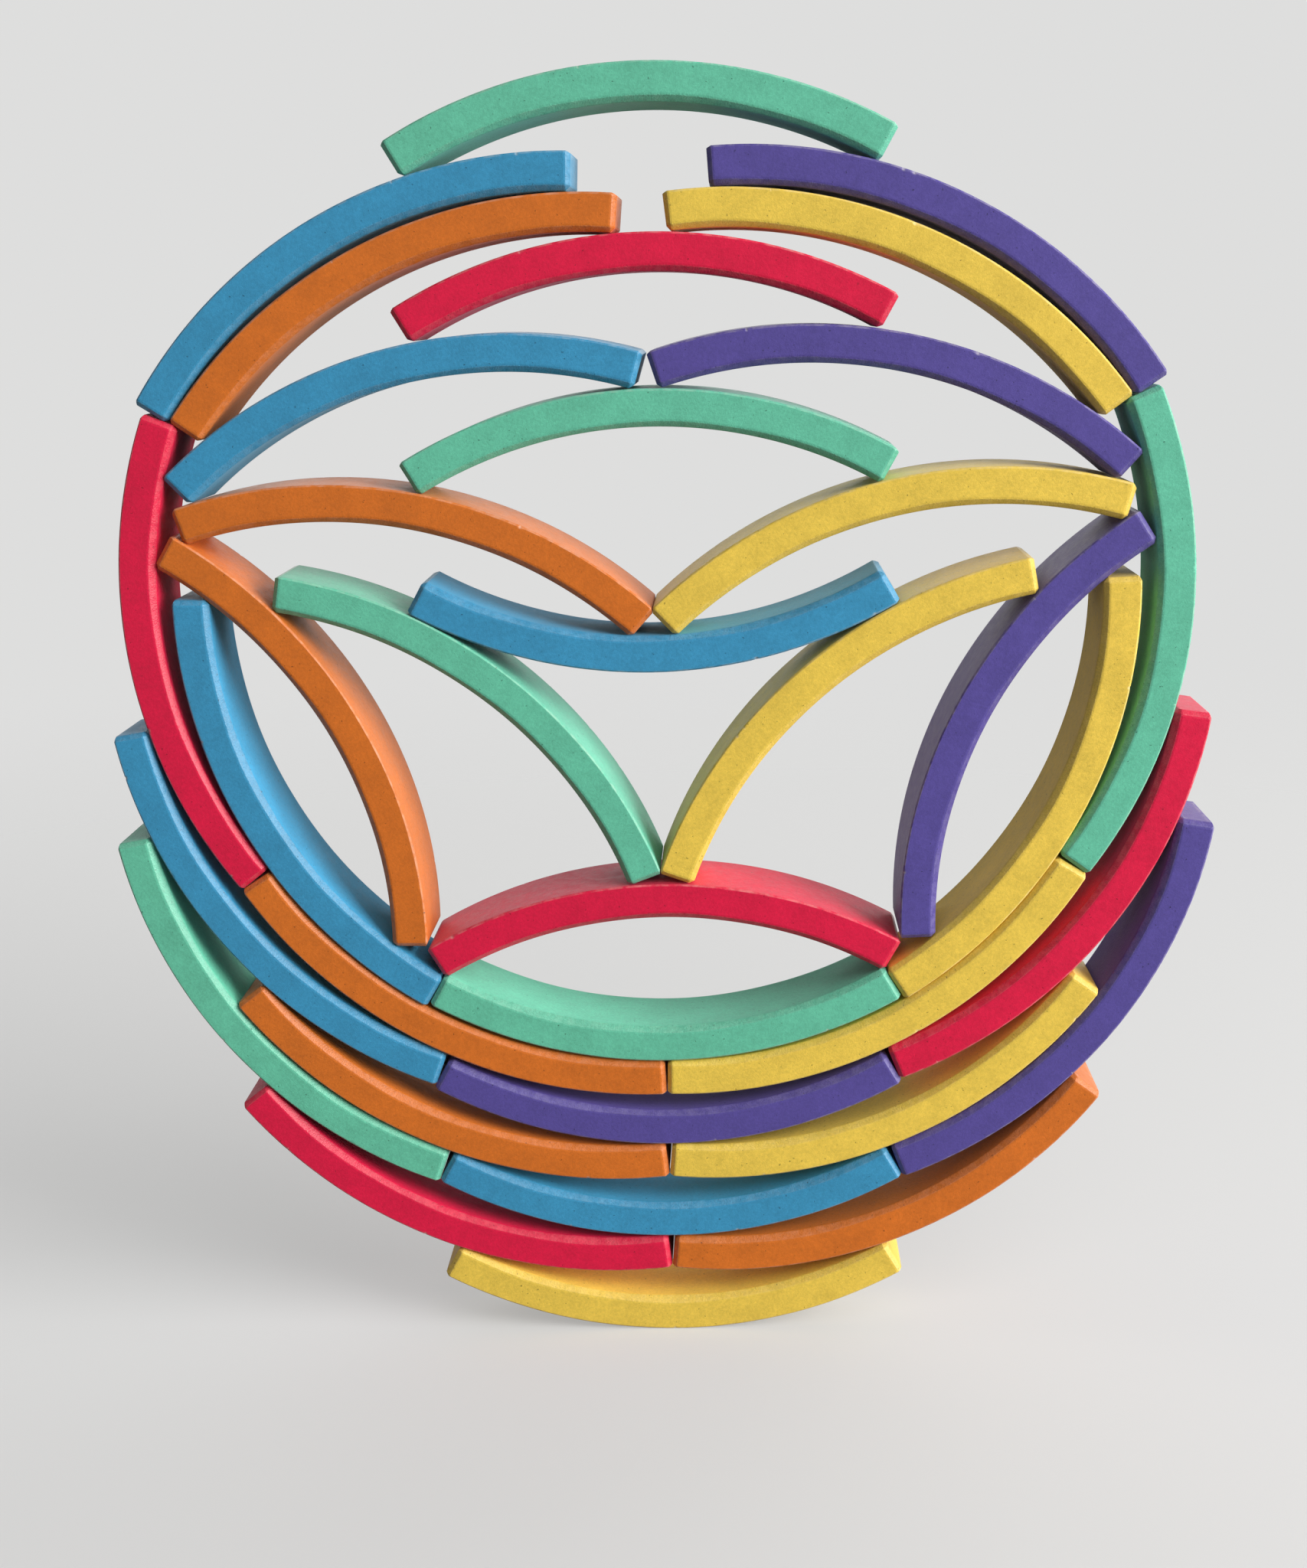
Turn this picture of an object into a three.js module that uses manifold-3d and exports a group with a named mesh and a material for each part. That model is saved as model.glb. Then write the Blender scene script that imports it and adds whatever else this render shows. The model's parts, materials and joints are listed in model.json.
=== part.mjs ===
// A free-standing round figure of 35 alike wooden arc blocks, stacked dry and by hand.
// Millimetres, +Z up, seen from the front along +Y. The origin is the ground under the foot.

import * as THREE from 'three';
import { mergeVertices } from 'three/addons/utils/BufferGeometryUtils.js';
import Module from 'manifold-3d';

// The block: a sixth of a ring, sawn from dyed fibreboard. Angles are in degrees.
const OUTER_RADIUS = 150;
const THICKNESS = 11.2;
const DEPTH = 30;
const SPAN = 60;
const CONVEX_BEVEL = 0.8;
const CONCAVE_BEVEL = 2.2;
const END_BEVEL = 1.4;

// The stack: the air left where two blocks touch, how far the inner ends of two pairs of wings lean
// apart at the top, and the least air between the inner ends of a pair of rafters
const SEAT_GAP = 0.3;
const LOW_WING_LEAN = 7;
const HIGH_WING_LEAN = 2;
const RAFTER_GAP = 1.8;

// Facets of an arc to each side of its middle one, on which the foot stands
const FACETS_EACH_SIDE = 5;
// How far an arc is swept past its end faces, in degrees, and how far the end cutter stands out of it
const SWEEP_OVERRUN = 1.5;
const CUTTER_MARGIN = 2;

const COLOURS = {
  green: 0x5eb794,
  blue: 0x3082b2,
  orange: 0xc86428,
  yellow: 0xe1c34b,
  purple: 0x5a4b96,
  red: 0xd01c46,
};
const ROUGHNESS = 0.62;

// Blocks on the middle plane, and mirrored pairs with the colours of their left and right block
const SINGLES = {
  foot_cup: 'yellow',
  low_cup: 'blue',
  middle_cup: 'purple',
  high_cup: 'green',
  low_arch: 'red',
  heart_cup: 'blue',
  middle_arch: 'green',
  high_arch: 'red',
  crown_arch: 'green',
};
const PAIRS = {
  low_wing: ['red', 'orange'],
  low_side: ['green', 'purple'],
  middle_wing: ['orange', 'yellow'],
  high_side: ['blue', 'red'],
  high_wing: ['orange', 'yellow'],
  outer_post: ['red', 'green'],
  inner_post: ['blue', 'yellow'],
  brace: ['orange', 'purple'],
  fork: ['green', 'yellow'],
  shoulder: ['orange', 'yellow'],
  low_rafter: ['blue', 'purple'],
  middle_rafter: ['orange', 'yellow'],
  high_rafter: ['blue', 'purple'],
};

const { degToRad } = THREE.MathUtils;
const INNER_RADIUS = OUTER_RADIUS - THICKNESS;
const MIDDLE_RADIUS = OUTER_RADIUS - THICKNESS / 2;
const HALF_SPAN = degToRad(SPAN / 2);
const BEVEL_ANGLE = END_BEVEL / MIDDLE_RADIUS;
const SWEEP_HALF = HALF_SPAN + degToRad(SWEEP_OVERRUN);
const FACETS = 2 * FACETS_EACH_SIDE + 1;
const FLAT_RADIUS = OUTER_RADIUS * Math.cos(SWEEP_HALF / FACETS);
const UP = degToRad(90);
const DOWN = degToRad(-90);

const wasm = await Module();
wasm.setup();

// A closed geometry as a solid that can be cut
function solidOf(geometry) {
  geometry.deleteAttribute('normal');
  geometry.deleteAttribute('uv');
  const merged = mergeVertices(geometry);
  const vertProperties = new Float32Array(merged.attributes.position.array);
  const triVerts = new Uint32Array(merged.index.array);
  return new wasm.Manifold(new wasm.Mesh({ numProp: 3, vertProperties, triVerts }));
}

function geometryOf(solid) {
  const mesh = solid.getMesh();
  const geometry = new THREE.BufferGeometry();
  geometry.setAttribute('position', new THREE.BufferAttribute(new Float32Array(mesh.vertProperties), 3));
  geometry.setIndex(new THREE.BufferAttribute(new Uint32Array(mesh.triVerts), 1));
  geometry.computeVertexNormals();
  return geometry;
}

// The convex line of an arch round the origin, from left to right
class ArchLine extends THREE.Curve {
  getPoint(t, target = new THREE.Vector3()) {
    const angle = (2 * t - 1) * SWEEP_HALF;
    return target.set(OUTER_RADIUS * Math.sin(angle), 0, OUTER_RADIUS * Math.cos(angle));
  }
}

// The block's section, across its depth and inwards from the convex side. The convex edges are
// crisp, the concave ones are well eased.
function sectionShape() {
  const half = DEPTH / 2;
  const right = [
    new THREE.Vector2(half - CONVEX_BEVEL, 0),
    new THREE.Vector2(half, CONVEX_BEVEL),
    new THREE.Vector2(half, THICKNESS - CONCAVE_BEVEL),
    new THREE.Vector2(half - CONCAVE_BEVEL, THICKNESS),
  ];
  const left = right.map(({ x, y }) => new THREE.Vector2(-x, y)).reverse();
  return new THREE.Shape([...right, ...left]);
}

// What the ends are cut to: radial faces with bevelled corners, and wide open elsewhere
function endCutterShape() {
  const slope = (END_BEVEL + CUTTER_MARGIN) / MIDDLE_RADIUS;
  const right = [
    [OUTER_RADIUS + CUTTER_MARGIN, HALF_SPAN - slope],
    [OUTER_RADIUS - END_BEVEL, HALF_SPAN],
    [INNER_RADIUS + END_BEVEL, HALF_SPAN],
    [INNER_RADIUS - CUTTER_MARGIN, HALF_SPAN - slope],
  ];
  const left = right.map(([radius, angle]) => [radius, -angle]).reverse();
  const summit = [2 * OUTER_RADIUS, 0];
  const outline = [summit, ...right, ...left];
  return new THREE.Shape(outline.map(([radius, angle]) => (
    new THREE.Vector2(radius * Math.sin(angle), radius * Math.cos(angle)))));
}

// One block as an arch round the origin
function blockGeometry() {
  const sweep = new THREE.ExtrudeGeometry(sectionShape(), {
    steps: FACETS,
    extrudePath: new ArchLine(),
  });
  const cutter = new THREE.ExtrudeGeometry(endCutterShape(), {
    depth: DEPTH - 2 * END_BEVEL,
    bevelThickness: END_BEVEL + CUTTER_MARGIN,
    bevelSize: END_BEVEL + CUTTER_MARGIN,
    bevelOffset: -END_BEVEL - CUTTER_MARGIN,
    bevelSegments: 1,
  });
  cutter.translate(0, 0, END_BEVEL - DEPTH / 2);
  cutter.rotateX(UP);
  return geometryOf(solidOf(sweep).intersect(solidOf(cutter)));
}

// A block's place: its arc's centre, and the direction from there to its middle. Going round the
// centre from +X to +Z, its end -1 is met first and its end +1 last.
function place(x, z, turn) {
  return { x, z, turn };
}

// A first guess of a place, in outer radii and degrees
function near(x, z, turn) {
  return place(x * OUTER_RADIUS, z * OUTER_RADIUS, degToRad(turn));
}

function mirrored({ x, z, turn }) {
  return place(-x, z, Math.PI - turn);
}

function pointOf(block, radius, angle) {
  const direction = block.turn + angle;
  return new THREE.Vector2(block.x + radius * Math.cos(direction), block.z + radius * Math.sin(direction));
}

// The two bevel points of a corner, seen from the front
function outerCorner(block, end) {
  return [
    pointOf(block, OUTER_RADIUS, end * (HALF_SPAN - BEVEL_ANGLE)),
    pointOf(block, OUTER_RADIUS - END_BEVEL, end * HALF_SPAN),
  ];
}

function innerCorner(block, end) {
  return [
    pointOf(block, INNER_RADIUS, end * (HALF_SPAN - BEVEL_ANGLE)),
    pointOf(block, INNER_RADIUS + END_BEVEL, end * HALF_SPAN),
  ];
}

// Air from a corner to a block's convex side, to its concave side, to its end face, to the same
// corner of its mirrored mate, and to a corner straight below it
function distances(corner, block) {
  return corner.map((point) => Math.hypot(point.x - block.x, point.y - block.z));
}

function airOutside(corner, block) {
  return Math.min(...distances(corner, block)) - OUTER_RADIUS;
}

function airInside(corner, block) {
  return INNER_RADIUS - Math.max(...distances(corner, block));
}

function airAtEnd(corner, block, end) {
  const normal = pointOf(place(0, 0, block.turn), 1, end * (HALF_SPAN + UP));
  return Math.min(...corner.map((point) => normal.dot(point) - normal.x * block.x - normal.y * block.z));
}

function airToMate(corner) {
  return -2 * Math.max(...corner.map((point) => point.x));
}

function airAbove(corner, below) {
  return Math.min(...corner.map((point) => point.y)) - Math.max(...below.map((point) => point.y));
}

// The solution of a small linear system, given by its columns
function solve(columns, right) {
  const rows = right.map((value, row) => [...columns.map((column) => column[row]), value]);
  for (let pivot = 0; pivot < rows.length; pivot += 1) {
    const sizes = rows.slice(pivot).map((row) => Math.abs(row[pivot]));
    const best = pivot + sizes.indexOf(Math.max(...sizes));
    [rows[pivot], rows[best]] = [rows[best], rows[pivot]];
    rows.forEach((row, index) => {
      const factor = index === pivot ? 0 : row[pivot] / rows[pivot][pivot];
      rows[index] = row.map((value, column) => value - factor * rows[pivot][column]);
    });
  }
  return rows.map((row, index) => row.at(-1) / row[index]);
}

// Moves a block until each of its seats has the seat gap, by Newton's method with measured slopes
// and with steps of limited length
function settle(block, freedoms, seats) {
  const longest = { x: OUTER_RADIUS / 15, z: OUTER_RADIUS / 15, turn: degToRad(3) };
  const probe = 1e-4;
  const tolerance = 1e-6;
  const mostSteps = 80;
  const misfits = () => seats.map((seat) => seat(block) - SEAT_GAP);
  for (let step = 0; step < mostSteps; step += 1) {
    const errors = misfits();
    if (Math.max(...errors.map(Math.abs)) < tolerance) {
      return block;
    }
    const slopes = freedoms.map((freedom) => {
      block[freedom] += probe;
      const probed = misfits();
      block[freedom] -= probe;
      return probed.map((value, index) => (value - errors[index]) / probe);
    });
    const moves = solve(slopes, errors);
    const excess = Math.max(1, ...moves.map((move, index) => Math.abs(move) / longest[freedoms[index]]));
    freedoms.forEach((freedom, index) => {
      block[freedom] -= moves[index] / excess;
    });
  }
  throw new Error('a block finds no seat');
}

const drop = (block, ...seats) => settle(block, ['z'], seats);
const shift = (block, ...seats) => settle(block, ['x', 'z'], seats);
const lay = (block, ...seats) => settle(block, ['x', 'z', 'turn'], seats);

// Wings whose inner ends, on the middle plane, lean apart at the top
function leaningWing(x, z, lean) {
  return { ...near(x, z, 0), turn: DOWN - HALF_SPAN + degToRad(lean) };
}

// Lays the stack from the ground up, for a given turn of the low sides. Of each pair it holds the
// left block. The guesses only say which way round a block lies: its seats give its place.
function layStack(lowSideTurn) {
  const foot_cup = place(0, FLAT_RADIUS, DOWN);
  const low_wing = shift(
    leaningWing(-0.12, 1.14, LOW_WING_LEAN),
    (block) => airToMate(outerCorner(block, 1)),
    (block) => airOutside(innerCorner(foot_cup, -1), block),
  );
  const low_cup = drop(near(0, 1.22, -90), (block) => airOutside(innerCorner(low_wing, 1), block));
  const low_side = shift(
    { ...near(-0.16, 1.3, 0), turn: lowSideTurn },
    (block) => Math.min(
      airOutside(innerCorner(low_wing, -1), block),
      airInside(outerCorner(block, 1), low_wing),
    ),
    (block) => airAtEnd(outerCorner(block, 1), low_cup, -1),
  );
  const middle_wing = lay(
    near(-0.12, 1.36, -114),
    (block) => airToMate(outerCorner(block, 1)),
    (block) => airOutside([...innerCorner(low_cup, -1), ...innerCorner(low_side, 1)], block),
    (block) => airInside(outerCorner(block, -1), low_side),
  );
  const middle_cup = drop(near(0, 1.44, -90), (block) => airOutside(innerCorner(middle_wing, 1), block));
  const high_side = lay(
    near(-0.14, 1.51, -141),
    (block) => airOutside(innerCorner(middle_wing, -1), block),
    (block) => airOutside(innerCorner(low_side, -1), block),
    (block) => airAtEnd(outerCorner(block, 1), middle_cup, -1),
  );
  const high_wing = shift(
    leaningWing(-0.04, 1.54, HIGH_WING_LEAN),
    (block) => airToMate(outerCorner(block, 1)),
    (block) => airOutside([...innerCorner(middle_cup, -1), ...innerCorner(high_side, 1)], block),
  );
  const high_cup = drop(near(0, 1.62, -90), (block) => Math.min(
    airOutside(innerCorner(high_wing, 1), block),
    airInside(outerCorner(block, -1), high_wing),
  ));
  const inner_post = lay(
    near(0, 1.61, -151),
    (block) => airOutside(innerCorner(high_wing, -1), block),
    (block) => airInside(outerCorner(block, 1), high_wing),
    (block) => airAtEnd([...innerCorner(block, 1), ...outerCorner(block, 1)], high_cup, -1),
  );
  const outer_post = lay(
    near(-0.09, 1.62, 187),
    (block) => airOutside(innerCorner(block, 1), inner_post),
    (block) => airAtEnd([...innerCorner(block, 1), ...outerCorner(block, 1)], high_wing, -1),
    (block) => airOutside(innerCorner(high_side, -1), block),
  );
  const low_arch = drop(near(0, 0.02, 90), (block) => (
    airAbove(innerCorner(block, 1), innerCorner(high_cup, -1))));
  const brace = lay(
    near(-1.49, 0.91, 28),
    (block) => Math.min(
      airInside(innerCorner(block, -1), inner_post),
      airInside(innerCorner(inner_post, -1), block),
    ),
    (block) => airOutside(outerCorner(low_arch, 1), block),
    (block) => airInside(innerCorner(block, 1), outer_post),
  );
  const fork = lay(
    near(-0.935, 0.7, 50),
    (block) => airToMate(outerCorner(block, -1)),
    (block) => airOutside(innerCorner(block, -1), low_arch),
    (block) => airOutside(innerCorner(block, 1), brace),
  );
  const heart_cup = drop(near(0, 2.47, -90), (block) => (
    Math.hypot(block.x - fork.x, block.z - fork.z) - 2 * OUTER_RADIUS));
  const shoulder = lay(
    near(-0.675, 0.86, 77),
    (block) => airToMate(outerCorner(block, -1)),
    (block) => airInside(innerCorner(block, -1), heart_cup),
    (block) => airOutside(innerCorner(block, 1), brace),
  );
  const middle_arch = drop(near(0, 1.03, 90), (block) => airOutside(innerCorner(block, 1), shoulder));
  const low_rafter = lay(
    near(-0.3, 1.14, 103),
    (block) => airOutside(innerCorner(block, -1), middle_arch),
    (block) => airOutside(innerCorner(block, 1), shoulder),
    (block) => airToMate(outerCorner(block, -1)) - RAFTER_GAP + SEAT_GAP,
  );
  const high_arch = drop(near(0, 1.33, 90), (block) => airOutside(innerCorner(block, 1), low_rafter));
  const middle_rafter = lay(
    near(-0.14, 1.41, 114),
    (block) => airOutside(innerCorner(block, -1), high_arch),
    (block) => airOutside(innerCorner(block, 1), low_rafter),
    (block) => airAtEnd(innerCorner(outer_post, -1), block, 1),
  );
  const high_rafter = lay(
    near(-0.18, 1.49, 117),
    (block) => airOutside(innerCorner(block, -1), middle_rafter),
    (block) => airInside(outerCorner(middle_rafter, 1), block),
    (block) => airAtEnd(innerCorner(block, 1), outer_post, -1),
  );
  const crown_arch = drop(near(0, 1.65, 90), (block) => airOutside(innerCorner(block, 1), high_rafter));
  return {
    foot_cup, low_wing, low_cup, low_side, middle_wing, middle_cup, high_side, high_wing, high_cup,
    inner_post, outer_post, low_arch, brace, fork, heart_cup, shoulder, middle_arch, low_rafter,
    high_arch, middle_rafter, high_rafter, crown_arch,
  };
}

// The low sides are turned until the outer posts, which lean on them, touch the low rafters. They
// also leave room for the inner posts, and for the upper rafters between them.
function roomInsidePosts({ turn }) {
  const { inner_post, outer_post, low_rafter, middle_rafter, high_rafter } = layStack(turn);
  const upperEnds = [...outerCorner(middle_rafter, -1), ...outerCorner(high_rafter, -1)];
  return Math.min(
    airInside(outerCorner(low_rafter, 1), outer_post),
    airInside(outerCorner(inner_post, -1), outer_post),
    airToMate(upperEnds) - RAFTER_GAP + SEAT_GAP,
  );
}

const lowSide = settle(near(0, 0, -140), ['turn'], [roomInsidePosts]);
const stack = layStack(lowSide.turn);
const geometry = blockGeometry();

function addBlock(group, name, colour, { x, z, turn }) {
  const material = new THREE.MeshStandardMaterial({
    color: COLOURS[colour],
    roughness: ROUGHNESS,
    metalness: 0,
  });
  const mesh = new THREE.Mesh(geometry, material);
  mesh.name = name;
  mesh.position.set(x, 0, z);
  mesh.rotation.y = UP - turn;
  group.add(mesh);
}

const figure = new THREE.Group();
for (const [name, colour] of Object.entries(SINGLES)) {
  addBlock(figure, name, colour, stack[name]);
}
for (const [name, [left, right]] of Object.entries(PAIRS)) {
  addBlock(figure, `${name}_left`, left, stack[name]);
  addBlock(figure, `${name}_right`, right, mirrored(stack[name]));
}

export default figure;
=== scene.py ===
"""Studio scene of a free-standing figure, stacked from dyed fibreboard arc blocks.

The file is laid out as an add-on. Property groups hold the block's sizes, the board's colours and the
stage, an operator lays each kind of block, and one sets the stage. Lengths are metres, +Z is up and the
front looks along -Y.
"""

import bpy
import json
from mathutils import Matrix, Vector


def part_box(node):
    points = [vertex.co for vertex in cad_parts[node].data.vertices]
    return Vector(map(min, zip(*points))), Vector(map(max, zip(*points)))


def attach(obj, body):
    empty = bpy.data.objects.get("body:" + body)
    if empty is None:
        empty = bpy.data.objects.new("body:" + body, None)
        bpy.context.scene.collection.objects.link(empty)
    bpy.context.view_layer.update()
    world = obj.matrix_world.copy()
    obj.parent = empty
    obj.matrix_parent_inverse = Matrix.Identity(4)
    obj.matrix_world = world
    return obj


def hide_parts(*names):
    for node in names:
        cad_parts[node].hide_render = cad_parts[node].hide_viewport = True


bl_info = {
    "name": "Arc Block Stack",
    "version": (1, 0, 0),
    "blender": (4, 5, 0),
    "location": "3D View > Sidebar > Arc Blocks",
    "description": "Lays dyed fibreboard arc blocks over a packed stack and sets a studio stage",
    "category": "Object",
}

import json
import math
import random
from types import SimpleNamespace

import bpy
import numpy as np
from bpy.props import FloatProperty, FloatVectorProperty, IntProperty, PointerProperty
from mathutils import Matrix, Vector

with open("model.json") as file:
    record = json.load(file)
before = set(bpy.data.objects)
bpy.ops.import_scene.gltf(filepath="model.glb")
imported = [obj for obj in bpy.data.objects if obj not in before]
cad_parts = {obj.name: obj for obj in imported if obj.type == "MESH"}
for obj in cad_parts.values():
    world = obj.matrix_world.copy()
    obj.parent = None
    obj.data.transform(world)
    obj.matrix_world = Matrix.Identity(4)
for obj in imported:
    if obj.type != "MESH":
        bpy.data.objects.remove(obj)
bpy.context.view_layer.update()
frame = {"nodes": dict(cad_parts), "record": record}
FOOT_LOW, FOOT_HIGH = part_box("foot_cup")
SLOT_OF = {part["node"]: part["material_slot"] for part in frame["record"]["subparts"]}

PHOTO_WIDTH = 1707
PHOTO_HEIGHT = 2048
MM = 0.001


# Settings

class BlockShape(bpy.types.PropertyGroup):
    """Sizes of the one block that all pieces share"""

    outer_radius: FloatProperty(
        name="Outer radius", description="From the arc's axis to the convex side",
        default=150 * MM, min=20 * MM, unit="LENGTH")
    thickness: FloatProperty(
        name="Thickness", description="From the convex to the concave side",
        default=11.2 * MM, min=2 * MM, unit="LENGTH")
    depth: FloatProperty(
        name="Depth", description="From the front to the back face",
        default=FOOT_HIGH.y - FOOT_LOW.y, min=5 * MM, unit="LENGTH")
    span: FloatProperty(
        name="Span", description="Angle between the two end faces",
        default=math.radians(60), subtype="ANGLE", unit="ROTATION")
    convex_edge: FloatProperty(
        name="Convex edge", description="Bevel of the crisp edges of the convex side",
        default=0.5 * MM, unit="LENGTH")
    concave_edge: FloatProperty(
        name="Concave edge", description="Bevel of the wide, grainy edges of the concave side",
        default=1.7 * MM, unit="LENGTH")
    end_edge: FloatProperty(
        name="End edge", description="Bevel of the end faces to the front and the back",
        default=1.4 * MM, unit="LENGTH")
    end_convex: FloatProperty(
        name="End edge, convex",
        description="Bevel of the end faces to the convex side, as a share of the end edge",
        default=0.5, min=0, max=1, subtype="FACTOR")
    tip_convex: FloatProperty(
        name="Tip edge, convex", description="The same share on the shoulders, whose tips meet",
        default=0.92, min=0, max=1, subtype="FACTOR")
    end_fill: FloatProperty(
        name="End fill", description="How far an end reaches into its seat's air, but for tips that meet",
        default=0.08 * MM, unit="LENGTH")
    edge_flatness: FloatProperty(
        name="Edge flatness", description="0 is a round edge, 1 a flat bevel",
        default=0.85, min=0, max=1, subtype="FACTOR")
    edge_support: FloatProperty(
        name="Edge support", description="Width of the flat strip that keeps an edge's shading to itself",
        default=0.6 * MM, unit="LENGTH")
    edge_waver: FloatProperty(
        name="Edge waver", description="How much the hand-sanded easing varies along an edge",
        default=0.16, min=0, max=0.5, subtype="FACTOR")
    nicks: IntProperty(
        name="Nicks", description="Small dents along the convex edges of a block",
        default=2, min=0, max=40)
    nick_depth: FloatProperty(
        name="Nick depth", description="Depth of the deepest nick",
        default=0.25 * MM, unit="LENGTH")
    nick_length: FloatProperty(
        name="Nick length", description="Length of the longest nick",
        default=1.2 * MM, unit="LENGTH")


def board_colour(name, default):
    return FloatVectorProperty(
        name=name, description=f"Dye of the {name.lower()} board", default=default, size=3,
        min=0, max=1, subtype="COLOR")


class BoardFinish(bpy.types.PropertyGroup):
    """Dyes of the six boards, and the finish that all of them show"""

    green: board_colour("Green", (0.117, 0.469, 0.312))
    blue: board_colour("Blue", (0.037, 0.250, 0.435))
    orange: board_colour("Orange", (0.571, 0.140, 0.0136))
    yellow: board_colour("Yellow", (0.735, 0.511, 0.071))
    purple: board_colour("Purple", (0.079, 0.0586, 0.258))
    red: board_colour("Red", (0.627, 0.006, 0.0475))
    # The pale colour of worn fibre, also used as a painted highlight on crisp edges and bevels
    worn_colour: FloatVectorProperty(
        name="Worn fibre", description="Colour that shows where edges are rubbed or nicked",
        default=(0.86, 0.80, 0.70), size=3, min=0, max=1, subtype="COLOR")
    roughness: FloatProperty(
        name="Roughness", description="Roughness of the pressed faces",
        default=0.50, min=0, max=1, subtype="FACTOR")
    cut_roughness: FloatProperty(
        name="Side roughness", description="What the sanded sides and ends add to the roughness",
        default=0.06, min=-1, max=1, subtype="FACTOR")
    hollow_roughness: FloatProperty(
        name="Hollow roughness", description="What the concave sides add to the roughness of the sides",
        default=0.16, min=-1, max=1, subtype="FACTOR")
    bevel_roughness: FloatProperty(
        name="Bevel roughness", description="What the wide bevels add to the roughness",
        default=-0.17, min=-1, max=1, subtype="FACTOR")
    specular: FloatProperty(
        name="Specular", description="How much the board mirrors",
        default=0.3, min=0, max=1, subtype="FACTOR")
    sheen: FloatProperty(
        name="Sheen", description="Veil of fine fibres seen at a flat angle",
        default=0.10, min=0, max=1, subtype="FACTOR")
    sheen_roughness: FloatProperty(
        name="Sheen roughness", description="How widely the veil spreads",
        default=0.3, min=0, max=1, subtype="FACTOR")


class StudioStage(bpy.types.PropertyGroup):
    """Camera, lamps and ground"""

    camera_place: FloatVectorProperty(
        name="Camera", description="Where the camera stands",
        default=(27.6 * MM, -624.8 * MM, 328.4 * MM), size=3, subtype="TRANSLATION", unit="LENGTH")
    focal_pixels: FloatProperty(
        name="Focal length", description="Focal length in pixels of the full frame",
        default=2649, subtype="PIXEL")
    camera_yaw: FloatProperty(
        name="Yaw", description="Camera's turn to the right",
        default=math.radians(-2.71), subtype="ANGLE", unit="ROTATION")
    camera_pitch: FloatProperty(
        name="Pitch", description="Camera's tilt downwards",
        default=math.radians(13.25), subtype="ANGLE", unit="ROTATION")
    camera_roll: FloatProperty(
        name="Roll", description="Camera's roll to the right",
        default=math.radians(1.80), subtype="ANGLE", unit="ROTATION")
    floor_colour: FloatVectorProperty(
        name="Floor", description="Pale floor", default=(0.80, 0.795, 0.785), size=3,
        min=0, max=1, subtype="COLOR")
    bounce_colour: FloatVectorProperty(
        name="Floor bounce", description="Colour of the light that the floor throws back on the stack",
        default=(0.22, 0.20, 0.18), size=3, min=0, max=1, subtype="COLOR")
    backdrop_colour: FloatVectorProperty(
        name="Backdrop", description="Pale backdrop behind the floor", default=(0.73, 0.73, 0.725),
        size=3, min=0, max=1, subtype="COLOR")
    floor_radius: FloatProperty(
        name="Floor radius", description="Radius of the floor, which fades into the backdrop",
        default=1.4, unit="LENGTH")
    floor_roughness: FloatProperty(
        name="Floor roughness", description="Roughness of the floor's paint",
        default=0.7, min=0, max=1, subtype="FACTOR")
    floor_glow: FloatProperty(
        name="Floor paleness", description="How much the camera sees the backdrop's colour on the floor",
        default=0.50, min=0, max=1, subtype="FACTOR")
    ambient: FloatProperty(
        name="Ambient", description="Even light from all sides", default=0.01, min=0, max=1,
        subtype="FACTOR")
    lamp_distance: FloatProperty(
        name="Lamp distance", description="From the stack to each lamp", default=3.0, unit="LENGTH")
    lamp_aim: FloatProperty(
        name="Lamp aim", description="Height that the lamps point at", default=0.2, unit="LENGTH")
    lamp_size: FloatProperty(
        name="Lamp size", description="Side of each square lamp", default=2.1, unit="LENGTH")
    key_power: FloatProperty(
        name="Key", description="Low lamp to the right", default=152.0, min=0, unit="POWER")
    high_power: FloatProperty(
        name="High", description="High lamp to the front", default=28.0, min=0, unit="POWER")
    rim_power: FloatProperty(
        name="Rim", description="Lamp behind to the right", default=32.0, min=0, unit="POWER")
    back_power: FloatProperty(
        name="Back", description="Lamp behind to the left", default=16.0, min=0, unit="POWER")
    fill_power: FloatProperty(
        name="Fill", description="Lamp at the front to the left", default=9.0, min=0, unit="POWER")


# Block

# Kinds of blocks whose tips meet on the middle plane
MEETING_KINDS = ("wing", "shoulder")

# How far the normal of a solid's end face may be off: from its turn to the arc, and across the depth
RADIAL_SLACK = 0.05
ACROSS_SLACK = 0.01

# Where a bevel has points, from one border to the other, and its least size
BEVEL_SHARES = (0.0, 0.1, 0.5, 0.9, 1.0)
LEAST_BEVEL = 0.1 * MM

# Steps along the arc, and how far large faces outweigh small ones in the shading
ARC_STEPS = 72
FACE_WEIGHT = 100

# How many times the two kinds of long edges would waver in a full turn of the arc, each in two waves
CONVEX_WAVES = (9, 23)
CONCAVE_WAVES = (7, 19)

# Nicks: how many end edges they keep from the ends, the least of their length and depth as shares of the
# greatest, how far they bite into the side and the face as shares of their depth, and their points in
# half lengths
NICK_CLEARANCE = 4
NICK_LEAST_LENGTH = 0.25
NICK_LEAST_DEPTH = 0.5
NICK_INTO_SIDE = 0.8
NICK_INTO_FACE = 0.6
NICK_STEPS = (-1.5, -1, -0.5, 0, 0.5, 1, 1.5)


def kind_of(node):
    """The last word of a block's name without its side: cup, arch, wing and so on."""
    return node.removesuffix("_left").removesuffix("_right").split("_")[-1]


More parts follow.
